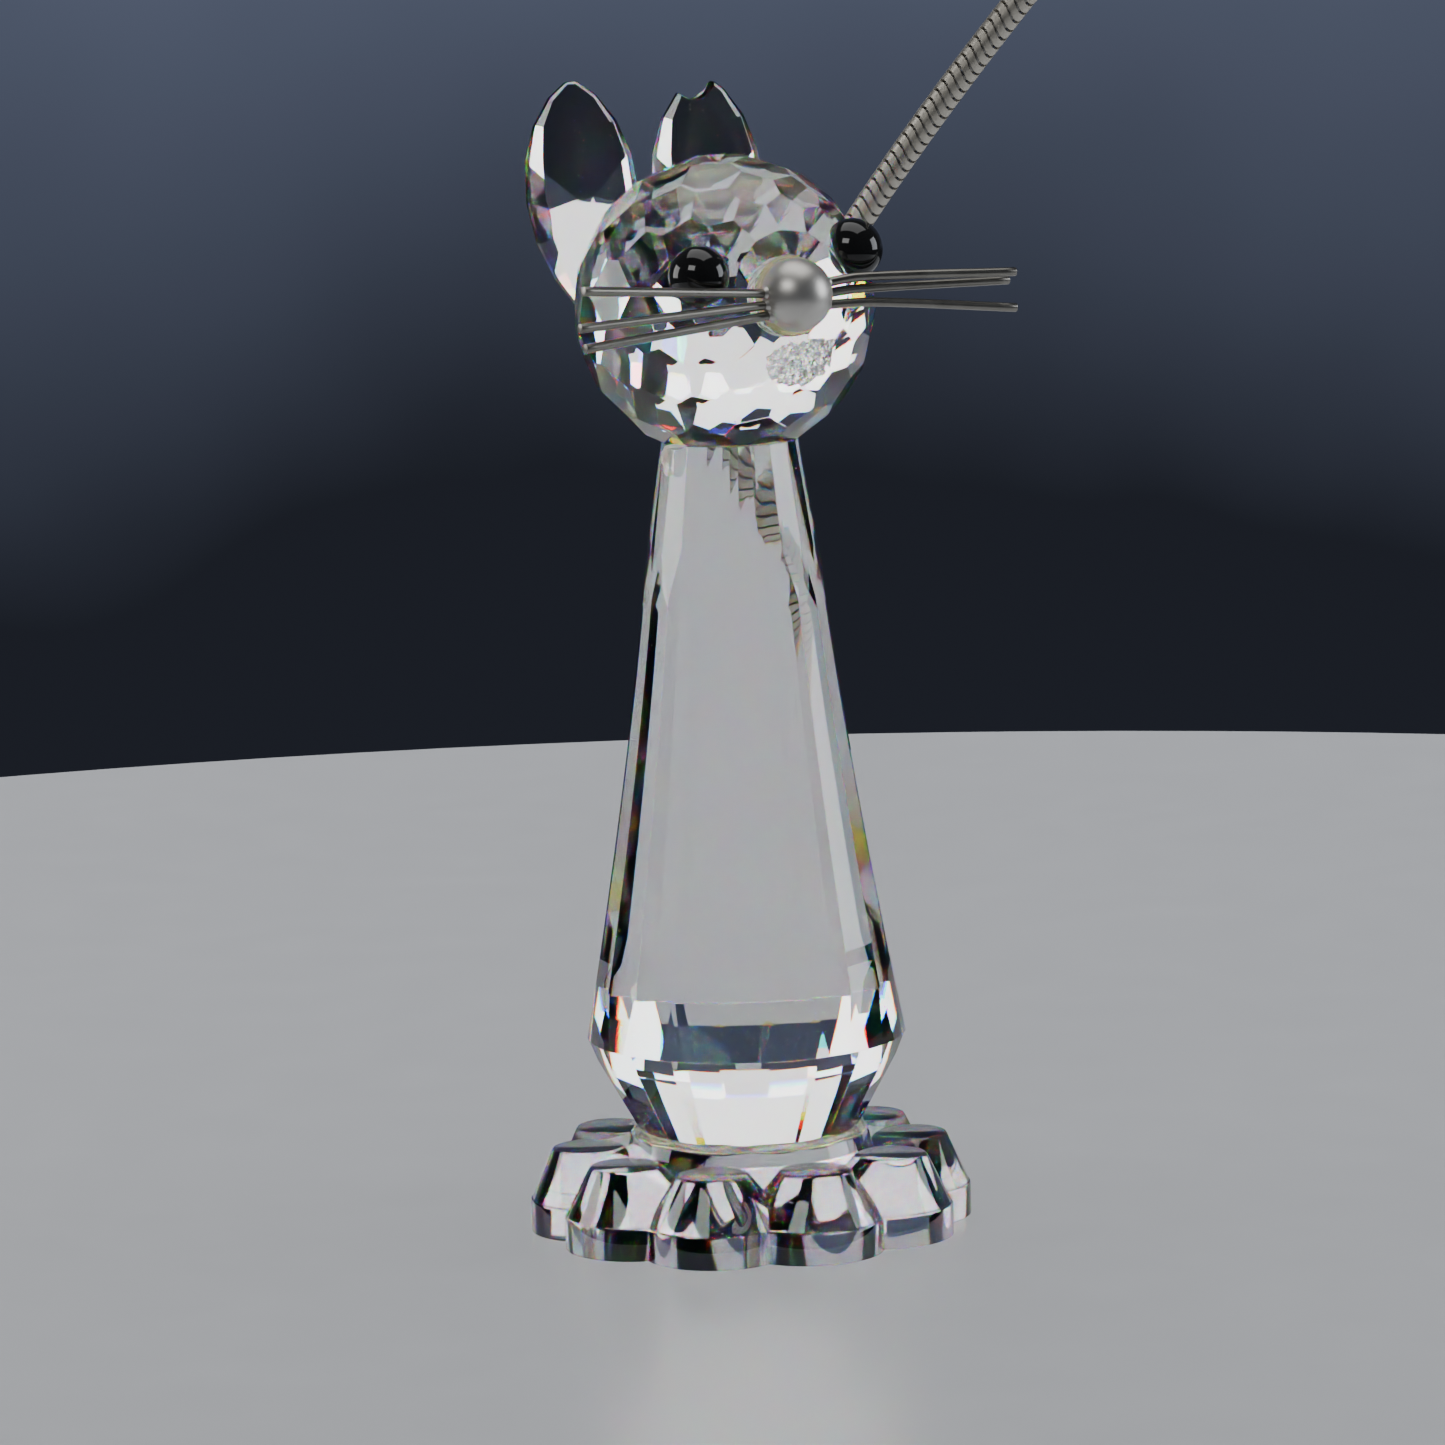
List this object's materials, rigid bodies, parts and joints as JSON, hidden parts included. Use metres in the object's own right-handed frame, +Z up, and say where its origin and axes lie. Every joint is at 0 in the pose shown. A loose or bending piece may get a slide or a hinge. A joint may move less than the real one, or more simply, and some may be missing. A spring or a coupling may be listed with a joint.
{
  "type": "crystal glass cat figurine",
  "caption": "Cut crystal cat figurine with a petalled base, a faceted ball head, bead eyes, wire whiskers, pendant ears and a bendable metal chain tail.",
  "frame": {"origin": "centre of the flat underside of the base", "axes": "+Z up, -Y out through the front facet of the body, +X to the right of a person facing it"},
  "size_m": [0.0635, 0.0511, 0.1343],
  "materials": {
    "crystal": "clear cut lead crystal, polished facets",
    "jet_glass": "opaque black glass, polished",
    "satin_metal": "satin, rhodium-grey",
    "chain_metal": "satin, warm grey, slightly worn",
    "core_wire": "dull drawn wire",
    "adhesive": "clear, slightly yellowed glue"
  },
  "bodies": {
    "figure": {"base_rosette": "crystal", "base_adhesive": "adhesive", "body_drop": "crystal", "neck_adhesive": "adhesive", "head_ball": "crystal", "nose_adhesive": "adhesive", "nose_ball": "satin_metal", "whisker_left_upper": "satin_metal", "whisker_left_middle": "satin_metal", "whisker_left_lower": "satin_metal", "whisker_right_upper": "satin_metal", "whisker_right_middle": "satin_metal", "whisker_right_lower": "satin_metal", "eye_left": "jet_glass", "eye_right": "jet_glass", "ear_left": "crystal", "ear_right": "crystal", "ear_adhesive_left": "adhesive", "ear_adhesive_right": "adhesive", "tail_ferrule": "chain_metal"},
    "tail_01": {"tail_links_01": "chain_metal", "tail_core_01": "core_wire"},
    "tail_02": {"tail_links_02": "chain_metal", "tail_core_02": "core_wire"},
    "tail_03": {"tail_links_03": "chain_metal", "tail_core_03": "core_wire"},
    "tail_04": {"tail_links_04": "chain_metal", "tail_core_04": "core_wire"},
    "tail_05": {"tail_links_05": "chain_metal", "tail_core_05": "core_wire"},
    "tail_06": {"tail_links_06": "chain_metal", "tail_core_06": "core_wire"},
    "tail_07": {"tail_links_07": "chain_metal", "tail_core_07": "core_wire"},
    "tail_08": {"tail_links_08": "chain_metal", "tail_core_08": "core_wire"},
    "tail_09": {"tail_links_09": "chain_metal", "tail_core_09": "core_wire"},
    "tail_10": {"tail_links_10": "chain_metal", "tail_core_10": "core_wire"},
    "tail_11": {"tail_links_11": "chain_metal", "tail_core_11": "core_wire"},
    "tail_12": {"tail_links_12": "chain_metal", "tail_core_12": "core_wire", "tail_tip_cap": "chain_metal"}
  },
  "joints": [
    {"name": "tail_sway_01", "type": "hinge", "parent": "figure", "child": "tail_01", "pos_m": [-0.00736, 0.01652, 0.0126], "axis": [0.001, 0.9994, -0.0352], "range_deg": [0, 9]},
    {"name": "tail_nod_02", "type": "hinge", "parent": "tail_01", "child": "tail_02", "pos_m": [-0.00789, 0.01693, 0.02358], "axis": [-0.9986, -0.0019, -0.052], "range_deg": [0, 9]},
    {"name": "tail_sway_03", "type": "hinge", "parent": "tail_02", "child": "tail_03", "pos_m": [-0.00825, 0.0173, 0.03456], "axis": [0.0002, 0.9996, -0.0295], "range_deg": [0, 9]},
    {"name": "tail_nod_04", "type": "hinge", "parent": "tail_03", "child": "tail_04", "pos_m": [-0.00784, 0.01755, 0.04555], "axis": [-0.9963, 0.0012, 0.0862], "range_deg": [0, 9]},
    {"name": "tail_sway_05", "type": "hinge", "parent": "tail_04", "child": "tail_05", "pos_m": [-0.00627, 0.01758, 0.05643], "axis": [0.0017, 1, 0.0083], "range_deg": [0, 9]},
    {"name": "tail_nod_06", "type": "hinge", "parent": "tail_05", "child": "tail_06", "pos_m": [-0.0034, 0.01735, 0.06704], "axis": [-0.9483, -0.011, 0.3173], "range_deg": [0, 9]},
    {"name": "tail_sway_07", "type": "hinge", "parent": "tail_06", "child": "tail_07", "pos_m": [0.00065, 0.01686, 0.07725], "axis": [0.0232, 0.9985, 0.0506], "range_deg": [0, 9]},
    {"name": "tail_nod_08", "type": "hinge", "parent": "tail_07", "child": "tail_08", "pos_m": [0.00566, 0.01614, 0.08701], "axis": [-0.871, -0.0424, 0.4895], "range_deg": [0, 9]},
    {"name": "tail_sway_09", "type": "hinge", "parent": "tail_08", "child": "tail_09", "pos_m": [0.01138, 0.01522, 0.09636], "axis": [0.05, 0.9958, 0.0762], "range_deg": [-9, 9]},
    {"name": "tail_nod_10", "type": "hinge", "parent": "tail_09", "child": "tail_10", "pos_m": [0.01762, 0.01415, 0.10535], "axis": [-0.8106, -0.0752, 0.5807], "range_deg": [-9, 9]},
    {"name": "tail_sway_11", "type": "hinge", "parent": "tail_10", "child": "tail_11", "pos_m": [0.02423, 0.01294, 0.11406], "axis": [0.0707, 0.9934, 0.09], "range_deg": [-9, 9]},
    {"name": "tail_nod_12", "type": "hinge", "parent": "tail_11", "child": "tail_12", "pos_m": [0.03109, 0.01164, 0.12256], "axis": [-0.7738, -0.1007, 0.6253], "range_deg": [-9, 9]}
  ]
}
